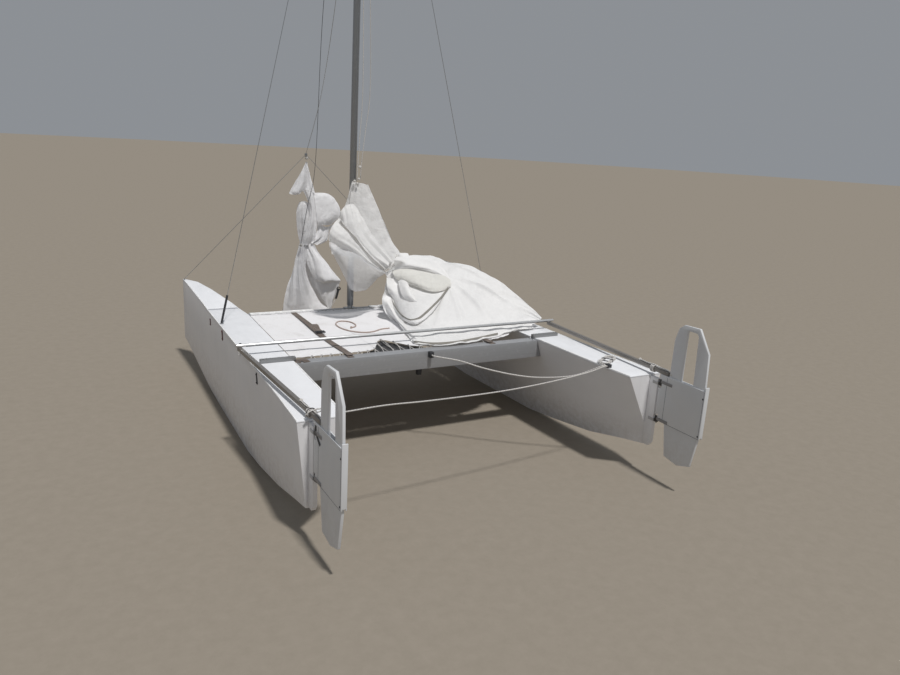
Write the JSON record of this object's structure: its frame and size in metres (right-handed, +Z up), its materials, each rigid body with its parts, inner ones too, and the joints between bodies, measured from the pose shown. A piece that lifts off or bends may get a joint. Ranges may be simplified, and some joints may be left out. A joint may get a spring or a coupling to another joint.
{
  "type": "small sailing catamaran",
  "caption": "Two flat-sided hulls joined by beams and a trampoline, with a mast, lowered sails, linked lifting rudders and tillers, resting on its keels.",
  "frame": {"origin": "on the floor under the middle of the boat's length, midway between the hulls", "axes": "+X to starboard, +Y towards the bows, +Z up along the mast"},
  "size_m": [2.35, 3.8, 5.612],
  "materials": {
    "hull_paint": "painted satin",
    "deck_paint": "painted satin",
    "grey_beam": "satin",
    "alloy": "anodised satin",
    "steel": "brushed",
    "black_fitting": "matt",
    "sailcloth": "woven",
    "trampoline_cloth": "woven",
    "webbing": "woven",
    "rope": "braided"
  },
  "bodies": {
    "platform": {"hull_starboard": "hull_paint", "hull_port": "hull_paint", "deck_starboard": "deck_paint", "deck_port": "deck_paint", "foredeck_starboard": "deck_paint", "foredeck_port": "deck_paint", "sternpost_starboard": "hull_paint", "sternpost_port": "hull_paint", "gudgeon_upper_starboard": "black_fitting", "gudgeon_upper_port": "black_fitting", "gudgeon_lower_starboard": "black_fitting", "gudgeon_lower_port": "black_fitting", "rear_beam": "grey_beam", "front_beam": "grey_beam", "trampoline": "trampoline_cloth", "hiking_strap_starboard": "webbing", "hiking_strap_port": "webbing", "deck_bar_starboard": "alloy", "deck_bar_port": "alloy", "mast_step": "alloy", "mast": "alloy", "masthead": "black_fitting", "hounds": "steel", "chainplate_starboard": "steel", "chainplate_port": "steel", "shroud_lashing_starboard": "black_fitting", "shroud_lashing_port": "black_fitting", "shroud_starboard": "steel", "shroud_port": "steel", "forestay": "steel", "bridle_ring": "steel", "bridle_starboard": "steel", "bridle_port": "steel", "bow_eye_starboard": "steel", "bow_eye_port": "steel", "jib": "sailcloth", "mainsail_hung": "sailcloth", "mainsail_heap": "sailcloth", "mainsail_fold": "sailcloth", "block_beam": "black_fitting", "block_under_beam": "black_fitting", "block_deck": "black_fitting", "eye_stern_port": "steel", "mainsheet": "rope", "stern_line": "rope", "hank": "rope", "trampoline_line": "rope"},
    "rudder_port": {"rudder_box_port": "hull_paint", "pintle_upper_port": "black_fitting", "pintle_lower_port": "black_fitting", "tiller_port": "alloy", "tiller_pin_port": "steel"},
    "rudder_starboard": {"rudder_box_starboard": "hull_paint", "pintle_upper_starboard": "black_fitting", "pintle_lower_starboard": "black_fitting", "tiller_starboard": "alloy"},
    "tie_bar": {"tiller_bar": "alloy"},
    "blade_port": {"rudder_blade_port": "hull_paint"},
    "blade_starboard": {"rudder_blade_starboard": "hull_paint"}
  },
  "joints": [
    {"name": "rudder_port_hinge", "type": "hinge", "parent": "platform", "child": "rudder_port", "pos_m": [-1.1, -1.5435, 0.45], "axis": [0, 0, 1], "range_deg": [-30, 30]},
    {"name": "rudder_starboard_hinge", "type": "hinge", "parent": "platform", "child": "rudder_starboard", "pos_m": [1.1, -1.5435, 0.45], "axis": [0, 0, 1], "range_deg": [-30, 30]},
    {"name": "tie_bar_pivot", "type": "hinge", "parent": "rudder_port", "child": "tie_bar", "pos_m": [-1.15096, -0.316, 0.71], "axis": [0, 0, 1], "range_deg": [-30, 30]},
    {"name": "blade_port_slide", "type": "slide", "parent": "rudder_port", "child": "blade_port", "axis": [0, 0, 1], "range_m": [-0.255, 0.225]},
    {"name": "blade_starboard_slide", "type": "slide", "parent": "rudder_starboard", "child": "blade_starboard", "axis": [0, 0, 1], "range_m": [-0.28, 0.2]}
  ],
  "couplings": [
    {"joint": "rudder_starboard_hinge", "follows": "rudder_port_hinge", "ratio": 1},
    {"joint": "tie_bar_pivot", "follows": "rudder_port_hinge", "ratio": -1}
  ]
}
